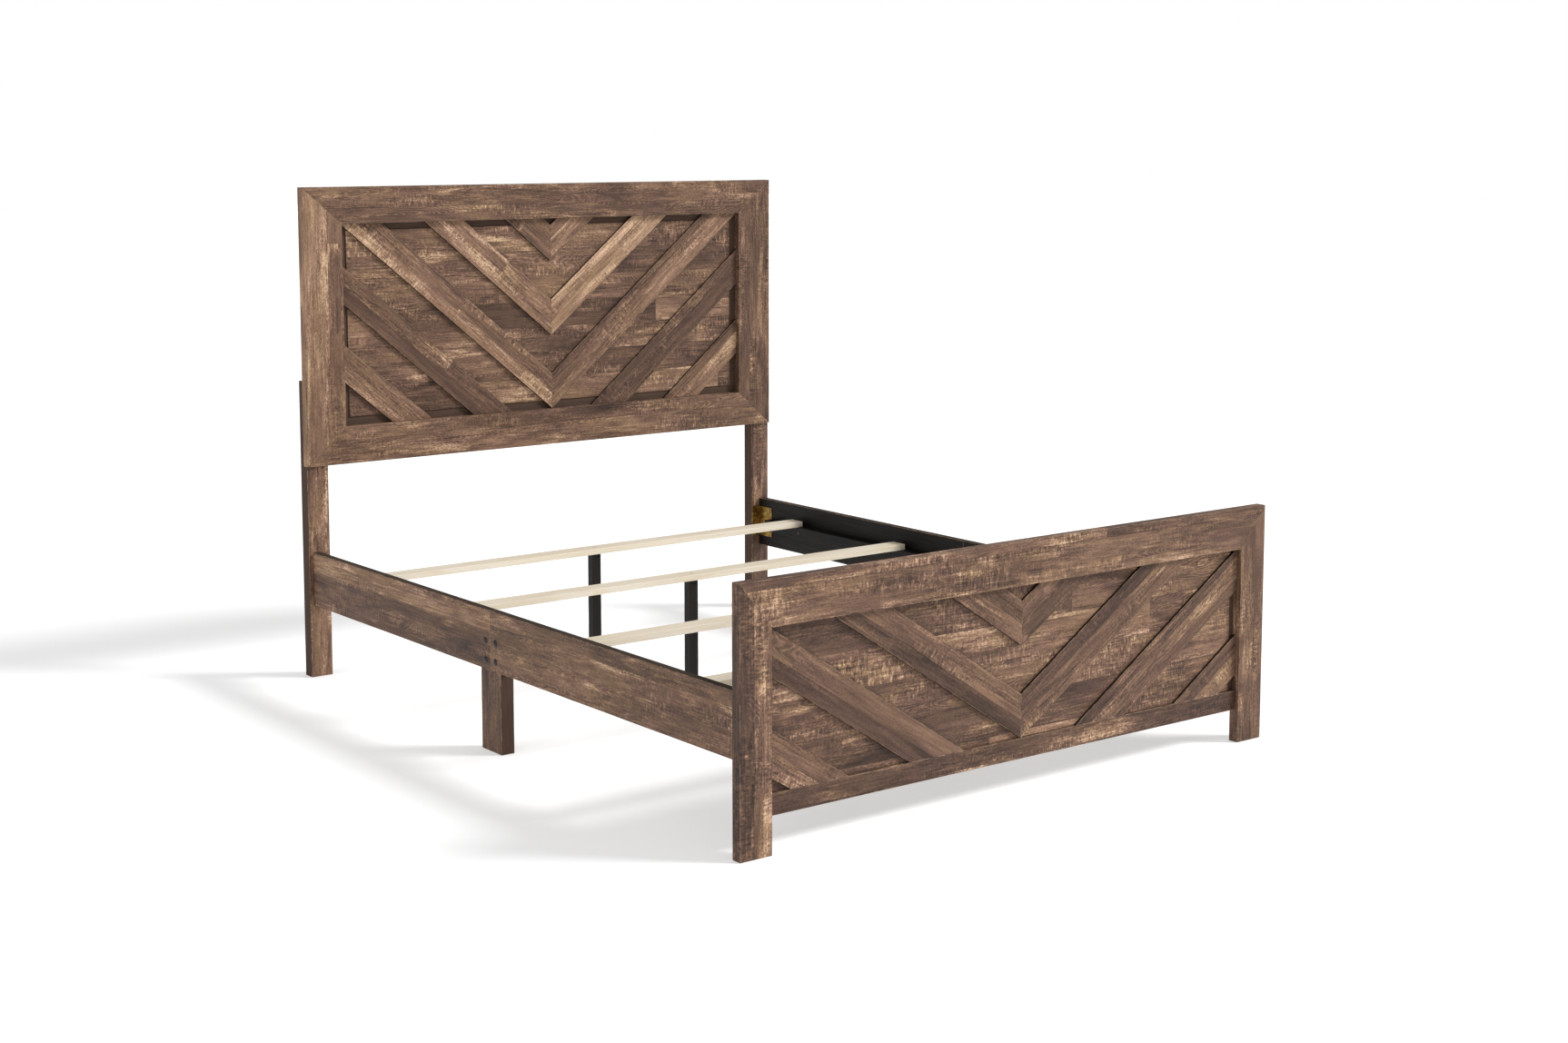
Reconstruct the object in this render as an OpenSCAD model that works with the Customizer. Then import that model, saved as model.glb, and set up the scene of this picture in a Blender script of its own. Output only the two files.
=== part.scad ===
// Rustic wooden bed frame for a queen mattress: a framed chevron headboard and footboard,
// two side rails in bolted halves, and slats on ledgers and centre posts.
// Millimetres. +Z up, X across the bed, Y along it with the headboard at +Y.
// The origin is on the floor, under the middle of the bed.

/* [Overall] */
// Length over everything, from the footboard's front to the back of the headboard legs
bed_l = 2118; // [2100:1:2160]
// Width across the footboard
bed_w = 1664; // [1650:1:1700]

/* [Headboard] */
// How much the headboard is narrower than the footboard on each side
head_inset = 15; // [10:1:18]
// Height of the top edge
head_h = 1395; // [1300:5:1450]
// Height of the underside of the framed panel
head_bottom = 607; // [560:1:640]
// Thickness of the frame
head_frame_t = 28; // [26:1:32]
// Width of each stile
head_stile_w = 121; // [90:1:140]
// Height of the top rail
head_top_w = 104; // [80:1:130]
// Height of the bottom rail
head_bottom_w = 107; // [80:1:130]
// How far the chevron boards lie behind the frame's front
head_recess = 14; // [10:1:14]
// Gap between the plank panel and each stile
head_margin_side = 22; // [0:1:30]
// Gap between the plank panel and the bottom rail
head_margin_bottom = 24; // [0:1:30]
// Gap between the plank panel and the top rail
head_margin_top = 20; // [0:1:30]

/* [Headboard legs] */
// Width of each leg
head_leg_w = 65; // [55:1:80]
// Depth of each leg
head_leg_d = 40; // [36:1:50]
// How far a leg's front lies behind the frame's front
head_leg_setback = 8; // [3:1:12]
// Height of the leg's thin upper part, which is bolted to the frame's back
head_leg_top = 850; // [780:5:950]

/* [Footboard] */
// Height of the top edge
foot_h = 606; // [560:1:650]
// Thickness of the frame
foot_frame_t = 28; // [26:1:32]
// Width of each stile, which runs down to the floor as a leg
foot_stile_w = 86; // [80:1:100]
// Height of the top rail
foot_top_w = 105; // [90:1:120]
// Height of the underside of the bottom rail
foot_bottom = 83; // [60:1:110]
// Height of the bottom rail
foot_bottom_w = 50; // [45:1:80]
// How far the chevron boards and the bottom rail lie behind the stiles' front
foot_recess = 14; // [10:1:14]
// Gap between the plank panel and each stile
foot_margin = 16; // [0:1:25]

/* [Chevron boards] */
// Thickness of a board
board_t = 8; // [5:1:9]
// Height of a headboard board, measured straight up
head_board_rise = 108; // [80:0.5:120]
// Distance from one headboard chevron to the next, measured straight up
head_board_pitch = 224; // [200:1:240]
// Height of a footboard board, measured straight up
foot_board_rise = 106.5; // [80:0.5:120]
// Distance from one footboard chevron to the next, measured straight up
foot_board_pitch = 222; // [200:1:240]
// Thickness of the panel with the plank face
plank_t = 3; // [2:1:3]
// How far the backing panel reaches into the frame's rebate
rebate_w = 10; // [6:1:12]

/* [Side rails] */
// Distance from the outside of a rail to the outside of the headboard leg
rail_inset = 12; // [5:1:14]
// Thickness of a rail
rail_t = 22; // [18:1:25]
// Height of a rail's bottom edge
rail_bottom = 208; // [190:1:230]
// Height of a rail's top edge
rail_top = 361; // [340:1:380]
// Place of the joint between a rail's halves
rail_joint_y = 28; // [0:1:40]

/* [Middle legs] */
// Length of a middle leg along the rail
mid_leg_l = 96; // [90:1:110]
// Depth of a middle leg across the bed, below the rail
mid_leg_d = 37; // [32:1:45]
// Distance between the joint bolts, both ways
bolt_spacing = 48; // [44:1:52]

/* [Slats and posts] */
// Width of a slat
slat_w = 55; // [50:1:70]
// Thickness of a slat
slat_t = 17; // [15:1:20]
// Length of a slat
slat_l = 1536; // [1520:1:1550]
// Distance between the two middle slats
slat_mid_pitch = 540; // [500:5:560]
// Distance from a middle slat to the outer one beside it
slat_end_pitch = 500; // [460:5:520]
// Height of the ledgers' top, which carries the slats
ledger_top = 301; // [285:1:310]
// Height of a ledger
ledger_h = 35; // [30:1:45]
// Depth of a ledger
ledger_d = 35; // [30:1:40]
// Side of a square centre post
post_w = 28; // [25:1:35]
// Height of the glide under a centre post
glide_h = 6; // [4:1:10]

/* [Hardware] */
// Height of a corner bracket
bracket_h = 95; // [80:1:100]
// Length of a corner bracket along the rail
bracket_l = 69; // [60:1:75]
// Thickness of a corner bracket
bracket_t = 2.5; // [2:0.5:3]
// Diameter of a dowel
dowel_d = 8; // [6:1:8]
// Length of a dowel
dowel_l = 60; // [40:5:60]

/* [Hidden] */
$fn = 48;

// Places along the bed
foot_front_y = -bed_l / 2;
foot_rear_y = foot_front_y + foot_frame_t;
head_leg_rear_y = bed_l / 2;
head_leg_front_y = head_leg_rear_y - head_leg_d;
head_front_y = head_leg_front_y - head_leg_setback;
head_rear_y = head_front_y + head_frame_t;

// Headboard outline and opening
head_x = bed_w / 2 - head_inset;
head_open_x = head_x - head_stile_w;
head_open_bottom = head_bottom + head_bottom_w;
head_open_top = head_h - head_top_w;
head_backing_t = head_frame_t - head_recess - board_t - plank_t;

// Footboard outline and opening
foot_x = bed_w / 2;
foot_open_x = foot_x - foot_stile_w;
foot_open_bottom = foot_bottom + foot_bottom_w;
foot_open_top = foot_h - foot_top_w;
foot_backing_t = foot_frame_t - foot_recess - board_t - plank_t;

// Side rails, ledgers and middle legs
rail_outer_x = head_x - rail_inset;
rail_inner_x = rail_outer_x - rail_t;
mid_leg_x = rail_outer_x - mid_leg_d;
mid_leg_top = ledger_top;
bolt_low_z = rail_bottom + 25;
bolt_mid_z = bolt_low_z + bolt_spacing / 2;
ledger_gap = 2;
ledger_bracket_gap = 5;
ledger_screw_first = 88;
ledger_screw_pitch = 300;
ledger_screw_count = 3;
ledger_screw_z = ledger_top - ledger_h / 2;
ledger_head_from = rail_joint_y + mid_leg_l / 2 + ledger_gap;
ledger_head_to = head_leg_front_y - bracket_l - ledger_bracket_gap;
ledger_foot_from = foot_rear_y + bracket_l + ledger_bracket_gap;
ledger_foot_to = rail_joint_y - mid_leg_l / 2 - ledger_gap;

// Corner brackets: an angle of a long flange on the rail and a short one on the leg
bracket_low_z = 240;
bracket_leg_w = 30;
bracket_screw_in = 24;

// Slats, counted from the headboard, the same either side of the rails' joints
slat_steps = [slat_mid_pitch / 2 + slat_end_pitch, slat_mid_pitch / 2];
slat_y = [
    rail_joint_y + slat_steps[0], rail_joint_y + slat_steps[1],
    rail_joint_y - slat_steps[1], rail_joint_y - slat_steps[0]
];

// Fasteners
bolt_d = 6;
bolt_head_d = 18;
bolt_head_h = 5;
washer_d = 16;
washer_t = 1.5;
nut_af = 10;
nut_h = 5;
leg_bolt_x = head_x - head_leg_w / 2;
leg_bolt_z = [680, 790];
leg_bolt_sink = 7;
leg_bolt_depth = 14;
screw_d = 4;
screw_head_d = 8;
screw_head_h = 2.5;
screw_depth = 12;
post_screw_depth = 35;

// Dowels: the places on a mitre are shares of the way in from the outer corner
head_dowel_steps = [0.36, 0.71];
foot_dowel_steps = [0.44, 0.78];
foot_dowel_z = [foot_bottom + 13, foot_bottom + 35];

function head_top_dowel_z(step) = head_h - head_top_w * step;
function head_bottom_dowel_z(step) = head_bottom + head_bottom_w * step;
function head_dowel_x(step) = head_x - head_stile_w * step;
function foot_top_dowel_z(step) = foot_h - foot_top_w * step;
function foot_dowel_x(step) = foot_x - foot_stile_w * step;

// Colours
plank_brown = [0.39, 0.30, 0.25];
board_brown = [0.44, 0.34, 0.28];
backing_brown = [0.20, 0.15, 0.12];
pine = [0.88, 0.82, 0.70];
paint_black = [0.07, 0.06, 0.06];
bolt_black = [0.05, 0.05, 0.05];
zinc_yellow = [0.62, 0.52, 0.25];
zinc_grey = [0.65, 0.66, 0.68];
beech = [0.80, 0.66, 0.48];
nylon = [0.12, 0.12, 0.12];

// ---- Building blocks ----

// A flat board: a drawing in X and Z, t thick, with its front face at y_front
module slab(y_front, t) {
    translate([0, y_front + t, 0])
        rotate([90, 0, 0])
            linear_extrude(t)
                children();
}

// A box between two corners
module box(low, high) {
    translate(low)
        cube(high - low);
}

// Draws its children on the +X side, or mirrored on the -X side
module on_side(side) {
    mirror([side < 0 ? 1 : 0, 0, 0])
        children();
}

// A round rod or hole from a point, length l along +Y, -Y, +X or -Z
module rod_y(x, y, z, d, l) {
    translate([x, y, z])
        rotate([-90, 0, 0])
            cylinder(d = d, h = l);
}

module rod_x(x, y, z, d, l) {
    translate([x, y, z])
        rotate([0, 90, 0])
            cylinder(d = d, h = l);
}

module rod_down(x, y, z, d, l) {
    translate([x, y, z - l])
        cylinder(d = d, h = l);
}

// One board on the +X half of an opening. Its lower edge starts at height tip on the centre
// line and rises at the given slope; the board is cut off at the opening's edges.
module chevron_board(tip, rise, slope, open_x, open_bottom, open_top, y_front) {
    reach = open_x * slope;
    slab(y_front, board_t)
        intersection() {
            translate([0, open_bottom])
                square([open_x, open_top - open_bottom]);
            polygon([
                [0, tip],
                [open_x, tip + reach],
                [open_x, tip + reach + rise],
                [0, tip + rise]
            ]);
        }
}

// ---- Headboard ----

// The third chevron's lower edge runs from the opening's top corners to its bottom centre
head_slope = (head_open_top - head_open_bottom) / head_open_x;
head_tip_1 = head_open_bottom + 2 * head_board_pitch;

// The rebate behind the opening that holds the backing panel
module head_rebate(grow = 1) {
    box([-head_open_x - rebate_w, head_rear_y - head_backing_t, head_open_bottom - rebate_w],
        [head_open_x + rebate_w, head_rear_y + grow, head_open_top + rebate_w]);
}

// The eight dowels across the mitres
module head_dowel_set() {
    y = head_front_y + head_frame_t / 2;
    for (side = [-1, 1], step = head_dowel_steps)
        on_side(side) {
            x = head_dowel_x(step) - dowel_l / 2;
            rod_x(x, y, head_top_dowel_z(step), dowel_d, dowel_l);
            rod_x(x, y, head_bottom_dowel_z(step), dowel_d, dowel_l);
        }
}

module head_rail_blank(z_outer, z_inner) {
    difference() {
        slab(head_front_y, head_frame_t)
            polygon([
                [-head_x, z_outer],
                [head_x, z_outer],
                [head_open_x, z_inner],
                [-head_open_x, z_inner]
            ]);
        head_rebate();
        head_dowel_set();
    }
}

module headboard_top_rail() {
    color(plank_brown)
        head_rail_blank(head_h, head_open_top);
}

module headboard_bottom_rail() {
    color(plank_brown)
        head_rail_blank(head_bottom, head_open_bottom);
}

module head_stile(side) {
    color(plank_brown)
        on_side(side)
            difference() {
                slab(head_front_y, head_frame_t)
                    polygon([
                        [head_x, head_bottom],
                        [head_x, head_h],
                        [head_open_x, head_open_top],
                        [head_open_x, head_open_bottom]
                    ]);
                head_rebate();
                head_dowel_set();
                for (z = leg_bolt_z)
                    rod_y(leg_bolt_x, head_rear_y - leg_bolt_depth, z, bolt_d, leg_bolt_depth + 1);
            }
}

module headboard_left_stile() {
    head_stile(-1);
}

module headboard_right_stile() {
    head_stile(1);
}

module headboard_plank_panel() {
    y = head_front_y + head_recess + board_t;
    color(board_brown)
        box([-head_open_x + head_margin_side, y, head_open_bottom + head_margin_bottom],
            [head_open_x - head_margin_side, y + plank_t, head_open_top - head_margin_top]);
}

module headboard_backing_panel() {
    color(backing_brown)
        head_rebate(0);
}

module head_board(k, side) {
    color(board_brown)
        on_side(side)
            chevron_board(head_tip_1 - (k - 1) * head_board_pitch, head_board_rise, head_slope,
                          head_open_x, head_open_bottom, head_open_top, head_front_y + head_recess);
}

// A headboard leg: deep below the frame, thin behind it
module head_leg(side) {
    x_in = head_x - head_leg_w;
    color(plank_brown)
        on_side(side)
            difference() {
                union() {
                    box([x_in, head_leg_front_y, 0], [head_x, head_leg_rear_y, head_bottom]);
                    box([x_in, head_rear_y, head_bottom - 1], [head_x, head_leg_rear_y, head_leg_top]);
                }
                for (z = leg_bolt_z) {
                    rod_y(leg_bolt_x, head_rear_y - 1, z, bolt_d, head_leg_d);
                    rod_y(leg_bolt_x, head_leg_rear_y - leg_bolt_sink, z, washer_d + 2, leg_bolt_sink + 1);
                }
                bracket_screw_holes_head();
            }
}

module headboard_left_leg() {
    head_leg(-1);
}

module headboard_right_leg() {
    head_leg(1);
}

module headboard_dowels() {
    color(beech)
        head_dowel_set();
}

// Hex bolts with washers, sunk into the legs' backs
module headboard_leg_bolts() {
    x = leg_bolt_x;
    y = head_leg_rear_y - leg_bolt_sink;
    color(zinc_grey)
        for (side = [-1, 1], z = leg_bolt_z)
            on_side(side) {
                rod_y(x, head_rear_y - leg_bolt_depth, z, bolt_d, y - head_rear_y + leg_bolt_depth + 1);
                rod_y(x, y, z, washer_d, washer_t);
                translate([x, y + washer_t, z])
                    rotate([-90, 0, 0])
                        cylinder(d = nut_af / cos(30), h = 4, $fn = 6);
            }
}

// ---- Footboard ----

// The second chevron's lower edge meets the opening's bottom centre, and the third one's upper
// edge starts at the opening's top corners
foot_tip_1 = foot_open_bottom + foot_board_pitch;
foot_slope = (foot_open_top - foot_open_bottom + foot_board_pitch - foot_board_rise) / foot_open_x;

module foot_rebate(grow = 1) {
    box([-foot_open_x - rebate_w, foot_rear_y - foot_backing_t, foot_open_bottom - rebate_w],
        [foot_open_x + rebate_w, foot_rear_y + grow, foot_open_top + rebate_w]);
}

// Four dowels across the mitres and four in the bottom rail's butt joints
module foot_dowel_set() {
    y_mitre = foot_front_y + foot_frame_t / 2;
    y_butt = foot_front_y + foot_recess + (foot_frame_t - foot_recess) / 2;
    for (side = [-1, 1])
        on_side(side) {
            for (step = foot_dowel_steps)
                rod_x(foot_dowel_x(step) - dowel_l / 2, y_mitre, foot_top_dowel_z(step), dowel_d, dowel_l);
            for (z = foot_dowel_z)
                rod_x(foot_open_x - dowel_l / 2, y_butt, z, dowel_d, dowel_l);
        }
}

module footboard_top_rail() {
    color(plank_brown)
        difference() {
            slab(foot_front_y, foot_frame_t)
                polygon([
                    [-foot_x, foot_h],
                    [foot_x, foot_h],
                    [foot_open_x, foot_open_top],
                    [-foot_open_x, foot_open_top]
                ]);
            foot_rebate();
            foot_dowel_set();
        }
}

module footboard_bottom_rail() {
    color(plank_brown)
        difference() {
            box([-foot_open_x, foot_front_y + foot_recess, foot_bottom],
                [foot_open_x, foot_rear_y, foot_open_bottom]);
            foot_rebate();
            foot_dowel_set();
        }
}

module foot_leg(side) {
    color(plank_brown)
        on_side(side)
            difference() {
                slab(foot_front_y, foot_frame_t)
                    polygon([
                        [foot_open_x, 0],
                        [foot_x, 0],
                        [foot_x, foot_h],
                        [foot_open_x, foot_open_top]
                    ]);
                foot_rebate();
                foot_dowel_set();
                bracket_screw_holes_foot();
            }
}

module footboard_left_leg() {
    foot_leg(-1);
}

module footboard_right_leg() {
    foot_leg(1);
}

module footboard_plank_panel() {
    y = foot_front_y + foot_recess + board_t;
    color(board_brown)
        box([-foot_open_x + foot_margin, y, foot_open_bottom],
            [foot_open_x - foot_margin, y + plank_t, foot_open_top]);
}

module footboard_backing_panel() {
    color(backing_brown)
        foot_rebate(0);
}

module foot_board(k, side) {
    color(board_brown)
        on_side(side)
            chevron_board(foot_tip_1 - (k - 1) * foot_board_pitch, foot_board_rise, foot_slope,
                          foot_open_x, foot_open_bottom, foot_open_top, foot_front_y + foot_recess);
}

module footboard_dowels() {
    color(beech)
        foot_dowel_set();
}

// ---- Side rails and middle legs ----

// The four bolt places at a rail joint, each handed to its children as $y and $z
module at_joint_bolts() {
    for (dy = [-1, 1], dz = [-1, 1]) {
        $y = rail_joint_y + dy * bolt_spacing / 2;
        $z = bolt_mid_z + dz * bolt_spacing / 2;
        children();
    }
}

module joint_bolt_holes() {
    at_joint_bolts()
        rod_x(mid_leg_x - 1, $y, $z, bolt_d, rail_outer_x - mid_leg_x + 2);
}

module rail_half(side, y_from, y_to) {
    color(plank_brown)
        on_side(side)
            difference() {
                box([rail_inner_x, y_from, rail_bottom], [rail_outer_x, y_to, rail_top]);
                joint_bolt_holes();
                ledger_screw_holes();
                bracket_screw_holes_rail();
            }
}

module left_rail_head_half() {
    rail_half(-1, rail_joint_y, head_leg_front_y);
}

module left_rail_foot_half() {
    rail_half(-1, foot_rear_y, rail_joint_y);
}

module right_rail_head_half() {
    rail_half(1, rail_joint_y, head_leg_front_y);
}

module right_rail_foot_half() {
    rail_half(1, foot_rear_y, rail_joint_y);
}

// A middle leg: level with the rail's outside below it, with a thin tongue behind the joint.
// The rail's halves stand on the shoulder between the two.
module middle_leg(side) {
    y_from = rail_joint_y - mid_leg_l / 2;
    y_to = rail_joint_y + mid_leg_l / 2;
    color(plank_brown)
        on_side(side)
            difference() {
                union() {
                    box([mid_leg_x, y_from, 0], [rail_outer_x, y_to, rail_bottom]);
                    box([mid_leg_x, y_from, rail_bottom - 1], [rail_inner_x, y_to, mid_leg_top]);
                }
                joint_bolt_holes();
            }
}

module left_middle_leg() {
    middle_leg(-1);
}

module right_middle_leg() {
    middle_leg(1);
}

// A low dome: the top slice of a ball
module dome(d, h) {
    ball_r = (d * d / 4 + h * h) / (2 * h);
    intersection() {
        translate([0, 0, h - ball_r])
            sphere(r = ball_r, $fn = 64);
        cylinder(d = d, h = h);
    }
}

// Carriage bolts: a domed head outside the rail and a shank through rail and tongue
module rail_joint_bolts() {
    shank = rail_outer_x - mid_leg_x + washer_t + nut_h + 2;
    color(bolt_black)
        for (side = [-1, 1])
            on_side(side)
                at_joint_bolts() {
                    rod_x(rail_outer_x - shank, $y, $z, bolt_d, shank);
                    translate([rail_outer_x, $y, $z])
                        rotate([0, 90, 0])
                            dome(bolt_head_d, bolt_head_h);
                }
}

module rail_joint_nuts() {
    color(zinc_grey)
        for (side = [-1, 1])
            on_side(side)
                at_joint_bolts()
                    difference() {
                        union() {
                            rod_x(mid_leg_x - washer_t, $y, $z, washer_d, washer_t);
                            translate([mid_leg_x - washer_t - nut_h, $y, $z])
                                rotate([0, 90, 0])
                                    cylinder(d = nut_af / cos(30), h = nut_h, $fn = 6);
                        }
                        rod_x(mid_leg_x - washer_t - nut_h - 1, $y, $z, bolt_d, nut_h + washer_t + 2);
                    }
}

// ---- Ledgers ----

// The ledger screw places on the +X side, each handed to its children as $y
module at_ledger_screws() {
    for (i = [0 : ledger_screw_count - 1]) {
        step = ledger_screw_first + i * ledger_screw_pitch;
        for (y = [ledger_head_from + step, ledger_foot_to - step]) {
            $y = y;
            children();
        }
    }
}

module ledger_screw_holes() {
    at_ledger_screws()
        rod_x(rail_inner_x - ledger_d - 1, $y, ledger_screw_z, screw_d, ledger_d + screw_depth + 1);
}

module ledgers(side) {
    color(paint_black)
        on_side(side)
            difference() {
                union() {
                    box([rail_inner_x - ledger_d, ledger_head_from, ledger_top - ledger_h],
                        [rail_inner_x, ledger_head_to, ledger_top]);
                    box([rail_inner_x - ledger_d, ledger_foot_from, ledger_top - ledger_h],
                        [rail_inner_x, ledger_foot_to, ledger_top]);
                }
                ledger_screw_holes();
            }
}

module left_ledgers() {
    ledgers(-1);
}

module right_ledgers() {
    ledgers(1);
}

module ledger_screws() {
    color(zinc_grey)
        for (side = [-1, 1])
            on_side(side)
                at_ledger_screws() {
                    rod_x(rail_inner_x - ledger_d, $y, ledger_screw_z, screw_d, ledger_d + screw_depth);
                    translate([rail_inner_x - ledger_d, $y, ledger_screw_z])
                        rotate([0, -90, 0])
                            dome(screw_head_d, screw_head_h);
                }
}

// ---- Corner brackets ----

bracket_screw_z = [bracket_low_z + bracket_screw_in, bracket_low_z + bracket_h - bracket_screw_in];
bracket_rail_screw_in = bracket_l - 20;
bracket_leg_screw_x = rail_inner_x - bracket_leg_w + 14;

// The brackets' screw holes: in the rails, in the headboard's legs and in the footboard's legs
module bracket_screw_holes_rail() {
    for (z = bracket_screw_z) {
        rod_x(rail_inner_x - bracket_t - 1, head_leg_front_y - bracket_rail_screw_in, z, screw_d,
              bracket_t + screw_depth + 1);
        rod_x(rail_inner_x - bracket_t - 1, foot_rear_y + bracket_rail_screw_in, z, screw_d,
              bracket_t + screw_depth + 1);
    }
}

module bracket_screw_holes_head() {
    for (z = bracket_screw_z)
        rod_y(bracket_leg_screw_x, head_leg_front_y - bracket_t - 1, z, screw_d, bracket_t + screw_depth + 1);
}

module bracket_screw_holes_foot() {
    for (z = bracket_screw_z)
        rod_y(bracket_leg_screw_x, foot_rear_y - screw_depth, z, screw_d, bracket_t + screw_depth + 1);
}

// One angle bracket on the +X side: face_y is the leg's face, dir points from it along the rail
module bracket(face_y, dir) {
    flange_end = face_y + dir * bracket_l;
    plate_end = face_y + dir * bracket_t;
    top = bracket_low_z + bracket_h;
    box([rail_inner_x - bracket_t, min(face_y, flange_end), bracket_low_z],
        [rail_inner_x, max(face_y, flange_end), top]);
    box([rail_inner_x - bracket_leg_w, min(face_y, plate_end), bracket_low_z],
        [rail_inner_x, max(face_y, plate_end), top]);
}

module corner_brackets() {
    color(zinc_yellow)
        for (side = [-1, 1])
            on_side(side)
                difference() {
                    union() {
                        bracket(head_leg_front_y, -1);
                        bracket(foot_rear_y, 1);
                    }
                    bracket_screw_holes_rail();
                    bracket_screw_holes_head();
                    bracket_screw_holes_foot();
                }
}

// Domed screws: two through each flange of each bracket
module bracket_screws() {
    color(zinc_yellow)
        for (side = [-1, 1], z = bracket_screw_z)
            on_side(side) {
                for (y = [head_leg_front_y - bracket_rail_screw_in, foot_rear_y + bracket_rail_screw_in]) {
                    rod_x(rail_inner_x - bracket_t, y, z, screw_d, bracket_t + screw_depth);
                    translate([rail_inner_x - bracket_t, y, z])
                        rotate([0, -90, 0])
                            dome(screw_head_d, screw_head_h);
                }
                rod_y(bracket_leg_screw_x, head_leg_front_y - bracket_t, z, screw_d, bracket_t + screw_depth);
                translate([bracket_leg_screw_x, head_leg_front_y - bracket_t, z])
                    rotate([90, 0, 0])
                        dome(screw_head_d, screw_head_h);
                rod_y(bracket_leg_screw_x, foot_rear_y - screw_depth, z, screw_d, bracket_t + screw_depth);
                translate([bracket_leg_screw_x, foot_rear_y + bracket_t, z])
                    rotate([-90, 0, 0])
                        dome(screw_head_d, screw_head_h);
            }
}

// ---- Slats and centre posts ----

// A countersunk screw, or its hole, down from the slat's top
module post_screw(y) {
    top = ledger_top + slat_t;
    rod_down(0, y, top, screw_d, post_screw_depth);
    translate([0, y, top - screw_head_h])
        cylinder(d1 = screw_d, d2 = screw_head_d, h = screw_head_h);
}

module slat(i) {
    y = slat_y[i - 1];
    color(pine)
        difference() {
            box([-slat_l / 2, y - slat_w / 2, ledger_top], [slat_l / 2, y + slat_w / 2, ledger_top + slat_t]);
            post_screw(y);
        }
}

module slat_screws() {
    color(zinc_grey)
        for (y = slat_y)
            post_screw(y);
}

module centre_post(i) {
    y = slat_y[i - 1];
    color(paint_black)
        difference() {
            box([-post_w / 2, y - post_w / 2, glide_h], [post_w / 2, y + post_w / 2, ledger_top]);
            rod_down(0, y, ledger_top + slat_t, screw_d, post_screw_depth);
            glide_nail(y);
        }
}

// The nail that holds a glide in the post's end
module glide_nail(y) {
    rod_down(0, y, glide_h + 15, 3, 16);
}

module post_glides() {
    color(nylon)
        for (y = slat_y) {
            translate([0, y, 0])
                cylinder(d = post_w - 4, h = glide_h);
            glide_nail(y);
        }
}

// ---- What is drawn ----

headboard_top_rail();
headboard_bottom_rail();
headboard_left_stile();
headboard_right_stile();
headboard_plank_panel();
headboard_backing_panel();
head_board(1, -1);  // headboard_board_1_left
head_board(1, 1);  // headboard_board_1_right
head_board(2, -1);  // headboard_board_2_left
head_board(2, 1);  // headboard_board_2_right
head_board(3, -1);  // headboard_board_3_left
head_board(3, 1);  // headboard_board_3_right
head_board(4, -1);  // headboard_board_4_left
head_board(4, 1);  // headboard_board_4_right
head_board(5, -1);  // headboard_board_5_left
head_board(5, 1);  // headboard_board_5_right
headboard_left_leg();
headboard_right_leg();
headboard_dowels();
headboard_leg_bolts();
footboard_top_rail();
footboard_bottom_rail();
footboard_left_leg();
footboard_right_leg();
footboard_plank_panel();
footboard_backing_panel();
foot_board(1, -1);  // footboard_board_1_left
foot_board(1, 1);  // footboard_board_1_right
foot_board(2, -1);  // footboard_board_2_left
foot_board(2, 1);  // footboard_board_2_right
foot_board(3, -1);  // footboard_board_3_left
foot_board(3, 1);  // footboard_board_3_right
foot_board(4, -1);  // footboard_board_4_left
foot_board(4, 1);  // footboard_board_4_right
footboard_dowels();
left_rail_head_half();
left_rail_foot_half();
right_rail_head_half();
right_rail_foot_half();
left_middle_leg();
right_middle_leg();
rail_joint_bolts();
rail_joint_nuts();
left_ledgers();
right_ledgers();
ledger_screws();
corner_brackets();
bracket_screws();
slat(1);  // slat_1
slat(2);  // slat_2
slat(3);  // slat_3
slat(4);  // slat_4
slat_screws();
centre_post(1);  // centre_post_1
centre_post(2);  // centre_post_2
centre_post(3);  // centre_post_3
centre_post(4);  // centre_post_4
post_glides();
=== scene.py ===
import itertools
import math

import bmesh
import bpy
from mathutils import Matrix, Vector


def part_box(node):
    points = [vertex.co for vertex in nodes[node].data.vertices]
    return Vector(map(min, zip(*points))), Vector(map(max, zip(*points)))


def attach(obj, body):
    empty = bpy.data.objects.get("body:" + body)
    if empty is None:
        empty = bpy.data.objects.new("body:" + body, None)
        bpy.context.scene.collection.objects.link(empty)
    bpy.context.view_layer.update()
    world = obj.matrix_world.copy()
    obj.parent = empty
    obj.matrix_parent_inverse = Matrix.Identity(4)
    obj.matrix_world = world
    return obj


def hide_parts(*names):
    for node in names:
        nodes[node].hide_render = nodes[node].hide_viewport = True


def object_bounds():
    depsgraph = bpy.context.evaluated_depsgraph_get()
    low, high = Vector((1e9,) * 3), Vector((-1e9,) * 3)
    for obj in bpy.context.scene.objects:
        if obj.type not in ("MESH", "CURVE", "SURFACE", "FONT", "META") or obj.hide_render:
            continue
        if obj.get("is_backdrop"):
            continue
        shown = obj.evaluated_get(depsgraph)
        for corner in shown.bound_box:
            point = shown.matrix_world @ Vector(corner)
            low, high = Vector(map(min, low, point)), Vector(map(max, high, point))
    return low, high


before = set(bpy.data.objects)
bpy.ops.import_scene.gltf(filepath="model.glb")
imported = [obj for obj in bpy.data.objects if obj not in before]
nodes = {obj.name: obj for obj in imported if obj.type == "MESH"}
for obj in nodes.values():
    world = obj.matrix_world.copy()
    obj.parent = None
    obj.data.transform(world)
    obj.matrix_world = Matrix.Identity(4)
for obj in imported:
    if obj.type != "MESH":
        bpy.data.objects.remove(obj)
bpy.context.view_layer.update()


# ---- Colours, as sRGB values from 0 to 255 ----

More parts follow.
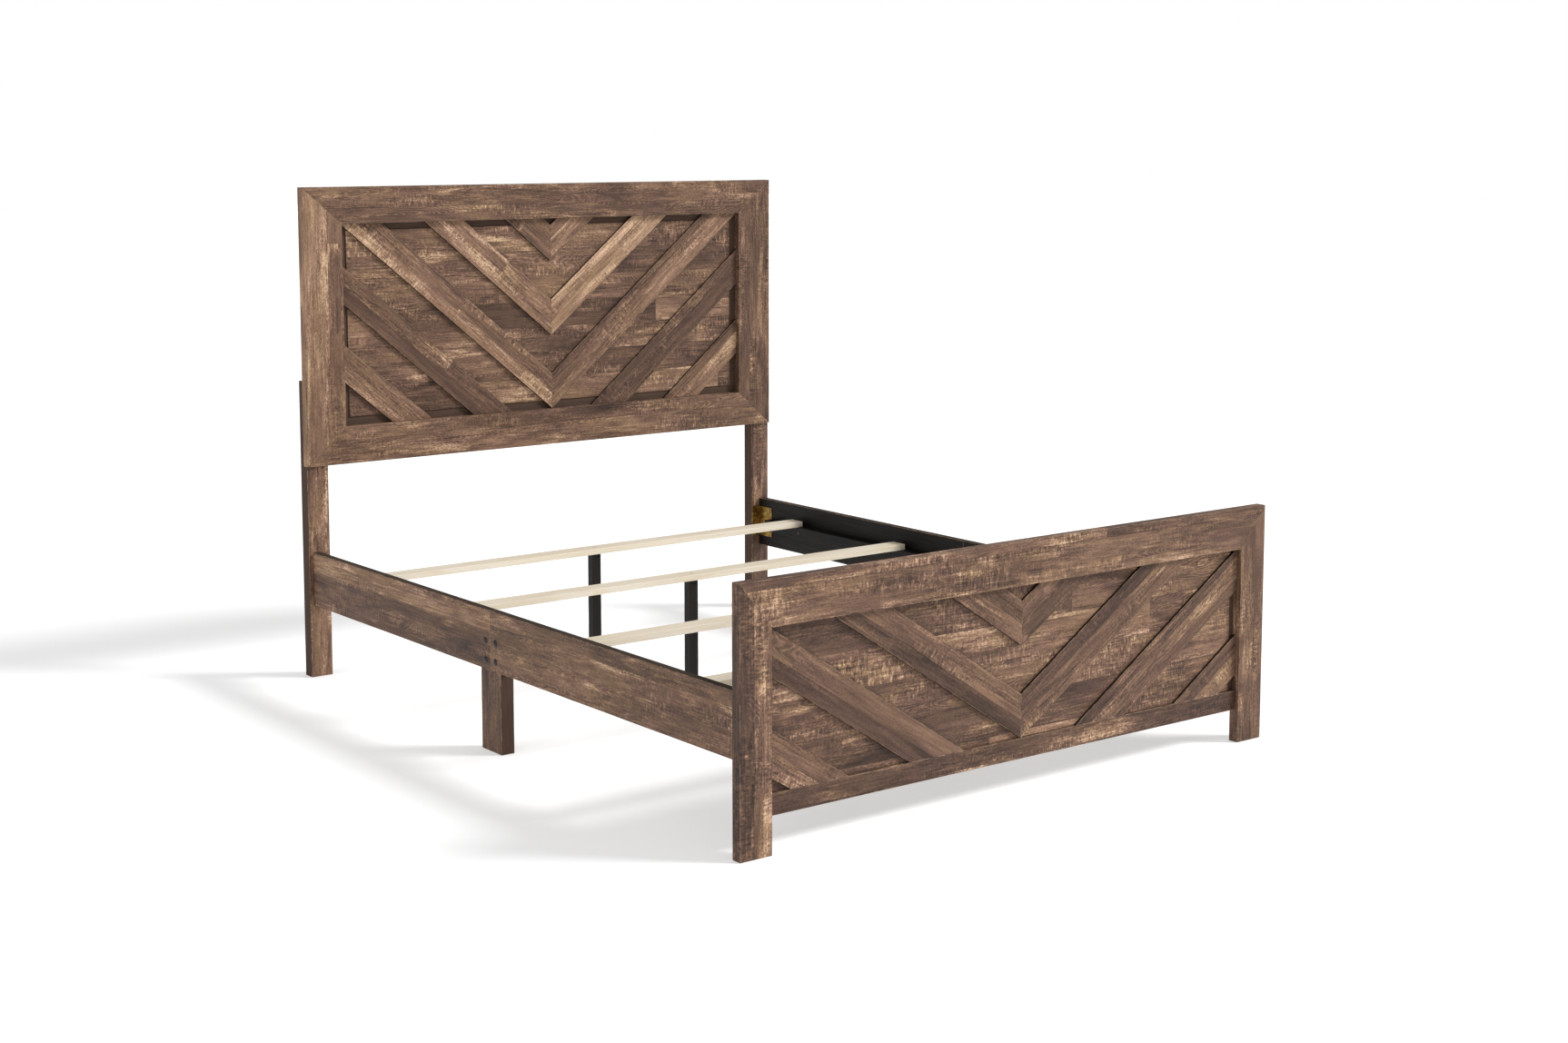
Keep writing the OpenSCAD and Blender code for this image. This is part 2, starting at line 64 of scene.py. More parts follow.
def colour(r, g, b):
    """An sRGB colour as the linear values that a shader takes."""
    return tuple((c / 255 / 12.92) if c <= 10 else ((c / 255 + 0.055) / 1.055) ** 2.4
                 for c in (r, g, b)) + (1.0,)


# The print's tones, each with its place on a scale from 0, stained black, to 1, worn pale
TONES = ((0.00, colour(30, 21, 17)), (0.20, colour(64, 48, 40)), (0.42, colour(96, 74, 62)),
         (0.66, colour(136, 109, 88)), (1.00, colour(202, 174, 147)))
# The print's hue drifts between these two
MAUVE = (1.04, 0.97, 0.97, 1.0)
GOLDEN = (1.01, 0.97, 0.87, 1.0)

# Other finishes drift between a dark and a light colour
# The boards' sides: painted shade, near black
BOARD_SIDE_SHADE = (colour(24, 17, 13), colour(44, 33, 26))
# The legs' side faces: an edging colour darkened with painted shade
LEG_SIDE_EDGING_AND_SHADE = (colour(56, 41, 33), colour(80, 61, 50))
RAIL_EDGE = (colour(42, 33, 27), colour(66, 53, 44))
# The backing's front, seen in the gap round the panel: a dark colour deepened with painted shade
MARGIN_EDGING_AND_SHADE = (colour(60, 47, 39), colour(90, 71, 58))
BACKING = (colour(92, 73, 58), colour(120, 97, 79))
# The arrises: a painted highlight, patchy
ARRIS_HIGHLIGHT = (colour(76, 58, 47), colour(150, 124, 100))
BEECH = (colour(196, 160, 116), colour(220, 188, 144))
PINE = (colour(222, 213, 196), colour(214, 203, 183))
LATE_WOOD = colour(204, 181, 143)
PINE_FIBRE = colour(188, 166, 130)
KNOT = colour(150, 104, 62)
BLACK_PAINT = (colour(9, 7, 6), colour(28, 23, 19))
LEDGER_PAINT = (colour(5, 4, 4), colour(15, 12, 10))
BLACK_BOLT = (colour(14, 11, 10), colour(28, 22, 19))
DARK_SCREW = (colour(58, 55, 52), colour(92, 88, 84))
ZINC = (colour(150, 152, 156), colour(196, 198, 202))
YELLOW_ZINC = (colour(140, 112, 52), colour(188, 158, 92))
YELLOW_ZINC_STAIN = colour(104, 78, 52)
GLIDE = (colour(14, 14, 14), colour(30, 30, 30))
PAPER = colour(235, 235, 235)


# ---- Sizes of marks, as cycles per metre along and across the grain ----

WANDER = (6.0, 1.0)
CLOUD = (2.6, 10.0)
MOTTLE = (10.0, 42.0)
STAIN = (3.4, 13.0)
FIBRE = (11.0, 210.0)
SPECK = (150.0, 260.0)
BUSY_ZONE = (5.0, 22.0)
SAW_MARK = (200.0, 62.0)
SMEAR = (34.0, 13.0)
SAWN_ZONE = (3.1, 12.0)
RING = (0.7, 9.0)
RING_RUFFLE = (12.0, 24.0)
RINGED_ZONE = (2.4, 8.0)
WORN_ZONE = (3.6, 20.0)
HUE_ZONE = (5.0, 21.0)

# ---- How far each mark moves the tone, on the scale of TONES ----

MOTTLE_SWING = 0.42
STAIN_DEPTH = 0.20
FIBRE_SWING = 0.85
SPECK_SWING = 0.60
SAW_PALE = 0.27
SAW_DARK = 0.20
SMEAR_PALE = 0.20
RING_DARK = -0.05
RING_PALE = 0.13
WORN_PALE = 0.30
SEAM_DEPTH = 0.12

# A slow noise times this, in radians, gives the growth rings' lines, and fibres ruffle them
RING_PHASE = 1100.0
RING_FIBRE_PHASE = 3.4
RING_RUFFLE_SWING = 0.04
# How far the line between planks wanders, in metres
WANDER_SWING = 0.006
# Numbers that give each piece, row and plank its own part of the noise
PIECE_OFFSET = (0.37, 0.59)
ROW_NUMBER_STEP = 17.3
ROW_SHIFT = 9.7
PLANK_OFFSET = (7.0, 3.0, 5.0)
# The width in metres of the line between planks, on each side of their edge
SEAM_WIDTH = 0.0014
# Levels of specular reflection: print and bare board, dark edging, thin paint, and pine
DULL = 0.22
EDGE_DULL = 0.15
PAINT_DULL = 0.18
PINE_DULL = 0.3

# Turns that bring the grain to +X
ALONG_X = (0.0, 0.0, 0.0)
ALONG_Y = (0.0, 0.0, -math.pi / 2)
ALONG_Z = (0.0, math.pi / 2, 0.0)


# ---- Shader building ----

class Shader:
    """A node material with short calls for the nodes used here."""

    def __init__(self, name):
        self.material = bpy.data.materials.new(name)
        self.material.use_nodes = True
        self.tree = self.material.node_tree
        self.tree.nodes.clear()
        self.output = self.add("ShaderNodeOutputMaterial")
        self.surface = self.add("ShaderNodeBsdfPrincipled")
        self.join(self.surface.outputs["BSDF"], self.output.inputs["Surface"])

    def add(self, kind, **settings):
        node = self.tree.nodes.new(kind)
        for key, value in settings.items():
            setattr(node, key, value)
        return node

    def join(self, source, target):
        self.tree.links.new(source, target)

    def put(self, value, target):
        """Links a socket, or sets a plain value."""
        if isinstance(value, bpy.types.NodeSocket):
            self.join(value, target)
        else:
            target.default_value = value

    def place(self, turn, offset=(0.0, 0.0, 0.0)):
        """The row's coordinates turned so that +X runs along the grain."""
        where = self.add("ShaderNodeTexCoord")
        turned = self.add("ShaderNodeMapping")
        turned.inputs["Rotation"].default_value = turn
        turned.inputs["Location"].default_value = offset
        self.join(where.outputs["Object"], turned.inputs["Vector"])
        return turned.outputs["Vector"]

    def vector(self, operation, a, b):
        node = self.add("ShaderNodeVectorMath", operation=operation)
        self.put(a, node.inputs[0])
        self.put(b, node.inputs[1])
        return node.outputs["Vector"]

    def math(self, operation, a, b=0.0):
        node = self.add("ShaderNodeMath", operation=operation)
        self.put(a, node.inputs[0])
        self.put(b, node.inputs[1])
        return node.outputs[0]

    def total(self, *values):
        """The sum of two or more values."""
        result = values[0]
        for value in values[1:]:
            result = self.math("ADD", result, value)
        return result

    def noise(self, where, size, detail=2.0, rough=0.5, distort=0.0):
        """Noise whose size is a pair of frequencies, along and across the grain."""
        along, across = size
        node = self.add("ShaderNodeTexNoise")
        self.join(self.vector("MULTIPLY", where, (along, across, across)), node.inputs["Vector"])
        node.inputs["Scale"].default_value = 1.0
        node.inputs["Detail"].default_value = detail
        node.inputs["Roughness"].default_value = rough
        node.inputs["Distortion"].default_value = distort
        return node.outputs["Fac"]

    def scaled(self, value, swing):
        """A value that goes from 0 to 1, moved to lie around 0 and multiplied by swing."""
        return self.math("MULTIPLY", self.math("SUBTRACT", value, 0.5), swing)

    def ramp(self, value, low, high, out_low=0.0, out_high=1.0):
        """A smooth step from out_low to out_high as the value goes from low to high."""
        node = self.add("ShaderNodeMapRange", interpolation_type="SMOOTHSTEP")
        self.put(value, node.inputs["Value"])
        node.inputs["From Min"].default_value = low
        node.inputs["From Max"].default_value = high
        node.inputs["To Min"].default_value = out_low
        node.inputs["To Max"].default_value = out_high
        return node.outputs["Result"]

    def mix(self, share, a, b, blend="MIX"):
        """Mixes two colours. Inputs 6 and 7 and output 2 are the node's colour sockets."""
        node = self.add("ShaderNodeMix", data_type="RGBA", blend_type=blend)
        self.put(share, node.inputs[0])
        self.put(a, node.inputs[6])
        self.put(b, node.inputs[7])
        return node.outputs[2]

    def finish(self, base, rough, height=None, bump_mm=0.0, **plain):
        """Sets the surface. plain holds its other inputs, with _ for a space in their names."""
        self.put(base, self.surface.inputs["Base Color"])
        self.put(rough, self.surface.inputs["Roughness"])
        for key, value in plain.items():
            self.surface.inputs[key.replace("_", " ")].default_value = value
        if height is not None:
            bump = self.add("ShaderNodeBump")
            bump.inputs["Strength"].default_value = 1.0
            bump.inputs["Distance"].default_value = bump_mm / 1000
            self.join(height, bump.inputs["Height"])
            self.join(bump.outputs["Normal"], self.surface.inputs["Normal"])
        return self.material


# ---- The brown print ----

def print_planks(s, where, seed, plank, plank_from, plank_length):
    """Divides the print into planks. Gives the place counted in rows, a random number for each
    plank, and coordinates in which each plank has its own offset."""
    split = s.add("ShaderNodeSeparateXYZ")
    s.join(where, split.inputs[0])
    along = split.outputs["X"]
    across = split.outputs["Z"]
    wander = s.scaled(s.noise(where, WANDER, 1.0), WANDER_SWING)
    rows = s.math("MULTIPLY", s.math("SUBTRACT", s.total(across, wander), plank_from), 1 / plank)
    row = s.math("FLOOR", rows)
    row_hash = s.add("ShaderNodeTexWhiteNoise", noise_dimensions="1D")
    s.join(s.total(row, ROW_NUMBER_STEP * seed), row_hash.inputs["W"])
    row_shift = s.math("MULTIPLY", row_hash.outputs["Value"], ROW_SHIFT)
    lengths = s.total(s.math("MULTIPLY", along, 1 / plank_length), row_shift)
    number = s.add("ShaderNodeCombineXYZ")
    s.join(s.math("FLOOR", lengths), number.inputs["X"])
    s.join(row, number.inputs["Y"])
    number.inputs["Z"].default_value = seed
    plank_hash = s.add("ShaderNodeTexWhiteNoise", noise_dimensions="3D")
    s.join(number.outputs[0], plank_hash.inputs["Vector"])
    offset = s.vector("MULTIPLY", plank_hash.outputs["Color"], PLANK_OFFSET)
    return rows, plank_hash.outputs["Value"], s.vector("ADD", where, offset)


def growth_rings(s, here, drawn, fibre, ringed):
    """Growth rings: level lines of a slow noise, ruffled by a quicker one and by the fibres.
    Gives the rings, and where they show."""
    field = s.total(s.noise(drawn, RING, 0.0), s.scaled(s.noise(here, RING_RUFFLE, 1.0), RING_RUFFLE_SWING))
    phase = s.total(s.math("MULTIPLY", field, RING_PHASE), s.math("MULTIPLY", fibre, RING_FIBRE_PHASE))
    ring = s.ramp(s.math("SINE", phase), -0.2, 1.0, RING_DARK, RING_PALE)
    zone = s.ramp(s.noise(drawn, RINGED_ZONE, 1.0), 0.62 - 0.25 * ringed, 0.72 - 0.22 * ringed)
    return ring, zone


def print_colour(s, level, here):
    """The colour at a level of TONES, with its hue drifting."""
    scale = s.add("ShaderNodeValToRGB")
    stops = scale.color_ramp.elements
    for position, tone in TONES[1:-1]:
        stops.new(position)
    for stop, (position, tone) in zip(stops, TONES):
        stop.position = position
        stop.color = tone
    s.join(level, scale.inputs["Fac"])
    hue = s.mix(s.ramp(s.noise(here, HUE_ZONE, 3.0, 0.6, 0.4), 0.36, 0.64), MAUVE, GOLDEN)
    return s.mix(1.0, scale.outputs["Color"], hue, "MULTIPLY")


def rustic_wood(name, turn, seed, plank, plank_from, tones, plank_length=8.0, worn=0.6, sawn=0.5,
                ringed=0.4, contrast=0.1, stretch=1.0, clouds=0.6):
    """Distressed brown woodgrain: planks of uneven tone, growth rings, saw marks and worn patches.
    plank is a plank's height and plank_from the place of one plank's edge across the grain. tones
    hold below and above that edge, and contrast is how far the planks differ by chance. worn,
    sawn and ringed say how much of the wood has pale patches, saw marks and growth rings.
    stretch draws the slow marks out along the grain, and clouds is how far the tone drifts.
    A zone begins at a lower level of its noise, the more of it is asked for."""
    s = Shader(name)
    where = s.place(turn, (PIECE_OFFSET[0] * seed, PIECE_OFFSET[1] * seed, 0.0))
    rows, plank_chance, here = print_planks(s, where, seed, plank, plank_from, plank_length)
    drawn = s.vector("MULTIPLY", here, (1 / stretch, 1.0, 1.0))

    # Slow tone: each strip's own, each plank's own, soft clouds, mottling and stains
    slow = s.total(s.ramp(rows, -0.02, 0.02, *tones),
                   s.scaled(plank_chance, contrast),
                   s.scaled(s.noise(drawn, CLOUD, 3.0, 0.55, 0.4), clouds),
                   s.scaled(s.noise(drawn, MOTTLE, 3.0, 0.6, 0.3), MOTTLE_SWING))
    stain = s.ramp(s.noise(drawn, STAIN, 3.0, 0.55, 0.5), 0.26, 0.42, STAIN_DEPTH, 0.0)
    slow = s.math("SUBTRACT", slow, stain)

    # Fibres along the grain and specks, stronger in some zones
    fibre = s.noise(here, FIBRE, 3.0, 0.72)
    speck = s.noise(here, SPECK, 2.0, 0.65)
    fine = s.total(s.scaled(fibre, FIBRE_SWING), s.scaled(speck, SPECK_SWING))
    fine = s.math("MULTIPLY", fine, s.ramp(s.noise(drawn, BUSY_ZONE), 0.34, 0.62, 0.60, 1.30))

    # Growth rings, where the wood is cleaner
    ring, ring_zone = growth_rings(s, here, drawn, fibre, ringed)
    fine = s.math("MULTIPLY", fine, s.ramp(ring_zone, 0.0, 1.0, 1.0, 0.80))
    fine = s.total(fine, s.math("MULTIPLY", ring, ring_zone))

    # Saw marks and smears across the grain, mostly where there are no rings
    saw = s.noise(here, SAW_MARK, 2.0, 0.62)
    tick = s.math("SUBTRACT", s.ramp(saw, 0.50, 0.70, 0.0, SAW_PALE), s.ramp(saw, 0.30, 0.48, SAW_DARK, 0.0))
    smear = s.ramp(s.noise(here, SMEAR, 4.0, 0.65), 0.50, 0.70, 0.0, SMEAR_PALE)
    saw_zone = s.ramp(s.noise(here, SAWN_ZONE, 2.0, 0.5, 0.3), 0.62 - 0.25 * sawn, 0.74 - 0.20 * sawn)
    saw_zone = s.math("MULTIPLY", saw_zone, s.ramp(ring_zone, 0.0, 1.0, 1.0, 0.3))
    fine = s.total(fine, s.math("MULTIPLY", s.total(tick, smear), saw_zone))

    # Dark wood is smoother than tan wood
    fine = s.math("MULTIPLY", fine, s.ramp(slow, 0.10, 0.45, 0.55, 1.0))

    # Worn patches, broken up by the specks, the saw marks and the fibres
    bare = s.ramp(s.noise(drawn, WORN_ZONE, 3.0, 0.55, 0.5), 0.64 - 0.18 * worn, 0.86 - 0.16 * worn)
    broken = s.total(s.scaled(speck, 0.7), s.scaled(saw, 0.4), s.scaled(fibre, 0.7))
    bare = s.math("MULTIPLY", bare, s.total(broken, WORN_PALE))

    # The thin line between planks
    edge = s.math("ABSOLUTE", s.math("SUBTRACT", s.math("FRACT", rows), 0.5))
    seam = s.ramp(edge, 0.5 - SEAM_WIDTH / plank, 0.5)
    level = s.math("SUBTRACT", s.total(slow, fine, bare), s.math("MULTIPLY", seam, SEAM_DEPTH))

    rough = s.ramp(level, 0.0, 0.9, 0.48, 0.68)
    raised = s.total(fibre, s.math("MULTIPLY", fine, 0.8))
    height = s.math("SUBTRACT", raised, s.math("MULTIPLY", seam, 0.6))
    return s.finish(print_colour(s, level, here), rough, height, 0.20, Specular_IOR_Level=DULL)


# ---- Other finishes ----

def dark_edging_and_shade(name, turn, tones):
    """Dark edges: real edging on the rails, painted shade on the boards' sides, and edging with painted
    shade on the legs' sides and the backing's margin.
    """
    s = Shader(name)
    fibre = s.noise(s.place(turn), (14.0, 300.0), 2.0, 0.6)
    base = s.mix(fibre, *tones)
    return s.finish(base, s.ramp(fibre, 0.2, 0.8, 0.75, 0.6), fibre, 0.2, Specular_IOR_Level=EDGE_DULL)


def painted_arris_highlight(name):
    """A painted highlight on the eased edges: a paler colour in patches."""
    s = Shader(name)
    highlight_patches = s.noise(s.place(ALONG_X), (38.0, 38.0), 4.0, 0.7)
    base = s.mix(s.ramp(highlight_patches, 0.40, 0.62), *ARRIS_HIGHLIGHT)
    return s.finish(base, s.ramp(highlight_patches, 0.2, 0.8, 0.5, 0.7), highlight_patches, 0.1, Specular_IOR_Level=DULL)


def black_paint(name, turn, tones=BLACK_PAINT):
    """Thin black paint over wood, with the grain showing a little."""
    s = Shader(name)
    where = s.place(turn)
    fibre = s.noise(where, (9.0, 260.0), 3.0, 0.6)
    cloud = s.noise(where, (5.0, 11.0), 2.0, 0.5)
    share = s.math("MULTIPLY", s.total(fibre, cloud), 0.5)
    base = s.mix(s.ramp(share, 0.3, 0.7), *tones)
    return s.finish(base, s.ramp(fibre, 0.2, 0.8, 0.6, 0.46), fibre, 0.15, Specular_IOR_Level=PAINT_DULL)


def pine_wood(name, seed):
    """Pale sawn softwood: long soft growth lines, darker late wood and a few small knots."""
    s = Shader(name)
    where = s.place(ALONG_X, (1.7 * seed, 0.43 * seed, 0.29 * seed))
    field = s.noise(where, (0.9, 14.0), 1.0, 0.4, 0.2)
    fibre = s.noise(where, (14.0, 420.0), 3.0, 0.6)
    rings = s.math("FRACT", s.total(s.math("MULTIPLY", field, 15.0), s.math("MULTIPLY", fibre, 0.25)))
    late = s.ramp(rings, 0.55, 1.0)
    base = s.mix(s.ramp(s.noise(where, (3.0, 9.0)), 0.3, 0.7), *PINE)
    base = s.mix(s.math("MULTIPLY", late, 0.32), base, LATE_WOOD)
    base = s.mix(s.ramp(fibre, 0.25, 0.6, 0.22, 0.0), base, PINE_FIBRE)
    knots = s.add("ShaderNodeTexVoronoi", feature="F1")
    s.join(s.vector("MULTIPLY", where, (2.6, 9.0, 9.0)), knots.inputs["Vector"])
    knots.inputs["Scale"].default_value = 1.0
    spot = s.ramp(knots.outputs["Distance"], 0.03, 0.09, 1.0, 0.0)
    base = s.mix(s.math("MULTIPLY", spot, 0.8), base, KNOT)
    return s.finish(base, s.ramp(fibre, 0.2, 0.8, 0.72, 0.55), fibre, 0.2, Specular_IOR_Level=PINE_DULL)


def plain_wood(name, turn, tones):
    """Bare wood or board with faint grain and clouds."""
    s = Shader(name)
    where = s.place(turn)
    fibre = s.noise(where, (12.0, 260.0), 3.0, 0.6)
    cloud = s.noise(where, (4.0, 9.0), 3.0, 0.6)
    share = s.total(s.math("MULTIPLY", fibre, 0.5), s.math("MULTIPLY", cloud, 0.5))
    base = s.mix(s.ramp(share, 0.3, 0.7), *tones)
    return s.finish(base, s.ramp(fibre, 0.2, 0.8, 0.7, 0.55), fibre, 0.15, Specular_IOR_Level=DULL)


def metal(name, tones, rough, stain=None, metallic=1.0):
    """Plated or painted steel with faint blotches and fine scuffs, and stained patches if asked."""
    s = Shader(name)
    where = s.place(ALONG_X)
    blotch = s.noise(where, (45.0, 45.0), 4.0, 0.6, 0.5)
    scuff = s.noise(where, (900.0, 260.0), 2.0, 0.6)
    base = s.mix(s.ramp(blotch, 0.3, 0.7), *tones)
    if stain is not None:
        stained = s.ramp(s.noise(where, (28.0, 28.0), 3.0, 0.6, 1.0), 0.42, 0.58, 0.0, 0.8)
        base = s.mix(stained, base, stain)
    return s.finish(base, s.ramp(scuff, 0.2, 0.8, rough - 0.07, rough + 0.1), scuff, 0.04, Metallic=metallic)


def plastic(name, tones):
    """Moulded plastic with a fine even grain."""
    s = Shader(name)
    grain = s.noise(s.place(ALONG_X), (700.0, 700.0))
    return s.finish(s.mix(grain, *tones), s.ramp(grain, 0.2, 0.8, 0.5, 0.65), grain, 0.05)


# ---- Pieces ----

# Rounding of the arrises, in metres
ARRIS = 0.0009
SLAT_ARRIS = 0.0012
# Edges that are rounded: sharper than this angle, and longer than this in metres
SHARP = math.radians(40)
SHORT = 0.005
# Triangles this close to one plane are joined into one face
FLAT = math.radians(0.5)
# Points closer than this, in metres, are one point
SAME_POINT = 1e-5
# A face looks along an axis if that part of its normal is more than this
FACING = 0.5
# Arrises with the painted highlight are all but those that look to the back
NOT_BACK = 0.2


def finished(node, paints, choose=None, ease=ARRIS, highlight_arrises=False):
    """A copy of a CAD piece with eased arrises, in place of the CAD node. choose(normal) gives
    the number of the paint on a face. When asked, the last paint goes on the arrises as a painted highlight."""
    mesh = nodes[node].data.copy()
    bm = bmesh.new()
    bm.from_mesh(mesh)
    bmesh.ops.remove_doubles(bm, verts=bm.verts, dist=SAME_POINT)
    bmesh.ops.dissolve_limit(bm, angle_limit=FLAT, verts=bm.verts, edges=bm.edges)
    sharp = [e for e in bm.edges
             if len(e.link_faces) == 2 and e.calc_face_angle(0.0) > SHARP and e.calc_length() > SHORT]
    bm.normal_update()
    for face in bm.faces:
        face.smooth = False
        face.material_index = choose(face.normal) if choose else 0
    eased = bmesh.ops.bevel(bm, geom=sharp, offset=ease, segments=2, profile=0.5, affect="EDGES",
                            clamp_overlap=True)
    for face in eased["faces"]:
        if highlight_arrises and face.normal.y < NOT_BACK:
            face.material_index = len(paints) - 1
    mesh.materials.clear()
    for paint in paints:
        mesh.materials.append(paint)
    bm.to_mesh(mesh)
    bm.free()
    piece = bpy.data.objects.new(node + ".finished", mesh)
    bpy.context.scene.collection.objects.link(piece)
    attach(piece, "root")
    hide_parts(node)


def repaint(node, paint):
    """Puts a material on a CAD node that is shown as it is."""
    shown = nodes[node]
    if not shown.material_slots:
        shown.data.materials.append(None)
    for holder in shown.material_slots:
        holder.link = "OBJECT"
        holder.material = paint


def dark_across(normal):
    """Paint 1 on faces that look across the bed."""
    return 1 if abs(normal.x) > FACING else 0


def dark_lengthways(normal):
    """Paint 1 on faces that look along the bed."""
    return 1 if abs(normal.y) > FACING else 0


def dark_sides(normal):
    """Paint 1 on a board's sides, and 0 on its front and back."""
    return 0 if abs(normal.y) > FACING else 1


def dark_front(normal):
    """Paint 1 on faces that look to the foot of the bed."""
    return 1 if normal.y < -FACING else 0


def rail_faces(outward):
    """Paint 0 outside, 1 inside and 2 on the edges of a rail. outward is its side, as -1 or 1."""
    def choose(normal):
        if normal.x * outward < -FACING:
            return 1
        return 0 if normal.x * outward > FACING else 2
    return choose


seeds = itertools.count(1)
# The arrises' paint is a painted highlight
arris = painted_arris_highlight("painted_arris_highlight")

# Frames and legs. The columns are the piece, the way of its grain, the width of the print's planks,
# the share of the piece's own width at which one plank's edge lies, the tones on both sides of
# that edge, and the wear.
FRAME_PRINTS = (
    ("headboard_top_rail", ALONG_X, 0.075, 0.42, (0.36, 0.46), 0.6),
    ("headboard_bottom_rail", ALONG_X, 0.080, 0.62, (0.48, 0.38), 0.6),
    ("headboard_left_stile", ALONG_Z, 0.085, 0.62, (0.54, 0.64), 0.6),
    ("headboard_right_stile", ALONG_Z, 0.085, 0.35, (0.46, 0.37), 0.6),
    ("headboard_left_leg", ALONG_Z, 0.090, 0.10, (0.46, 0.50), 0.6),
    ("headboard_right_leg", ALONG_Z, 0.090, 0.10, (0.36, 0.32), 0.6),
    ("footboard_top_rail", ALONG_X, 0.120, 0.80, (0.43, 0.37), 0.8),
    ("footboard_bottom_rail", ALONG_X, 0.090, 0.10, (0.26, 0.26), 0.8),
    ("footboard_left_leg", ALONG_Z, 0.050, 0.45, (0.46, 0.25), 0.8),
    ("footboard_right_leg", ALONG_Z, 0.060, 0.60, (0.46, 0.38), 0.5),
    ("left_middle_leg", ALONG_Z, 0.120, 0.10, (0.34, 0.34), 0.6),
    ("right_middle_leg", ALONG_Z, 0.120, 0.10, (0.34, 0.34), 0.6))
# The headboard legs' sides and the middle legs' faces along the bed get this colour: dark edging with
# painted shade in it
leg_side_edging_and_shade = dark_edging_and_shade("leg_side_edging_and_shade", ALONG_Z, LEG_SIDE_EDGING_AND_SHADE)
for node, turn, plank, share, tones, worn in FRAME_PRINTS:
    low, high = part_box(node)
    if turn == ALONG_X:
        plank_from = low.z + (high.z - low.z) * share
    else:
        plank_from = -(low.x + (high.x - low.x) * share)
    choose = None
    ringed = 0.8 if node.startswith("headboard") else 0.4
    if node.endswith("middle_leg"):
        choose = dark_lengthways
        ringed = 0.0
    elif node.startswith("headboard") and node.endswith("leg"):
        choose = dark_across
    wood = rustic_wood(node + "_wood", turn, next(seeds), plank, plank_from, tones, worn=worn,
                       sawn=worn, ringed=ringed)
    finished(node, [wood, leg_side_edging_and_shade, arris], choose, highlight_arrises=True)

# Side rails: brown outside, black inside, with dark edging. The columns are the piece, the share of
# its height at which the print changes, and the tones below and above it.
RAIL_PRINTS = (
    ("left_rail_head_half", 0.64, (0.42, 0.62)),
    ("left_rail_foot_half", 0.76, (0.52, 0.39)),
    ("right_rail_head_half", 0.60, (0.34, 0.50)),
    ("right_rail_foot_half", 0.55, (0.42, 0.30)))
RAIL_PLANK = 0.20
rail_edge = dark_edging_and_shade("rail_edge", ALONG_Y, RAIL_EDGE)
for node, share, tones in RAIL_PRINTS:
    low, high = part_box(node)
    plank_from = low.z + (high.z - low.z) * share
    ringed = 0.8 if node.endswith("foot_half") else 0.4
    wood = rustic_wood(node + "_wood", ALONG_Y, next(seeds), RAIL_PLANK, plank_from, tones, worn=0.65,
                       ringed=ringed)
    finished(node, [wood, black_paint(node + "_paint", ALONG_Y), rail_edge, arris],
             rail_faces(-1 if node.startswith("left") else 1), highlight_arrises=True)

# Plank panels. The backing behind shows as a dark margin in front, its own dark colour deepened with painted
# shade for the recess, and is plain at the back.
for end, plank in (("headboard", 0.077), ("footboard", 0.088)):
    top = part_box(end + "_plank_panel")[1].z
    wood = rustic_wood(end + "_plank_wood", ALONG_X, next(seeds), plank, top, (0.44, 0.44),
                       plank_length=0.9, worn=0.65, sawn=0.7, contrast=0.26, clouds=0.5)
    finished(end + "_plank_panel", [wood])
    backing = plain_wood(end + "_backing_wood", ALONG_X, BACKING)
    # The front face of the backing gets the colour with painted shade in it
    margin = dark_edging_and_shade(end + "_margin", ALONG_X, MARGIN_EDGING_AND_SHADE)
    finished(end + "_backing_panel", [backing, margin], dark_front)


# Chevron boards: the grain runs along each board, and the sides are painted near black as shade. Each has
# two strips of print, with a tone for the lower one and a tone for the upper one.
BOARD_TONES = {
    "headboard_left": ((0.42, 0.42), (0.64, 0.56), (0.62, 0.46), (0.34, 0.38), (0.60, 0.56)),
    "headboard_right": ((0.54, 0.54), (0.68, 0.68), (0.50, 0.36), (0.36, 0.34), (0.58, 0.46)),
    "footboard_left": ((0.54, 0.40), (0.28, 0.44), (0.22, 0.42), (0.40, 0.46)),
    "footboard_right": ((0.36, 0.50), (0.48, 0.26), (0.46, 0.26), (0.54, 0.34))}
# In metres: the width of the print's planks, and about the width of a board across its grain
BOARD_PLANK = 0.12
BOARD_WIDTH = 0.086
# The share of a board's width that is the lower strip, before a small step from board to board
LOWER_STRIP = {"left": 0.42, "right": 0.60}
STRIP_STEP = 0.04
# Points this close to a line, in metres, lie on it
ON_LINE = 1e-4


def chevron_slope(end, side):
    """The rise of the boards of one side, as an angle. The second board's lower edge gives it,
    because it runs from the centre line up to the opening."""
    points = [v.co for v in nodes[f"{end}_board_2_{side}"].data.vertices]
    top = max(p.z for p in points)
    inner = min((p for p in points if abs(p.x) < ON_LINE), key=lambda p: p.z)
    outer = max((p for p in points if p.z > top - ON_LINE), key=lambda p: abs(p.x))
    return math.atan2(outer.z - inner.z, abs(outer.x) - abs(inner.x))


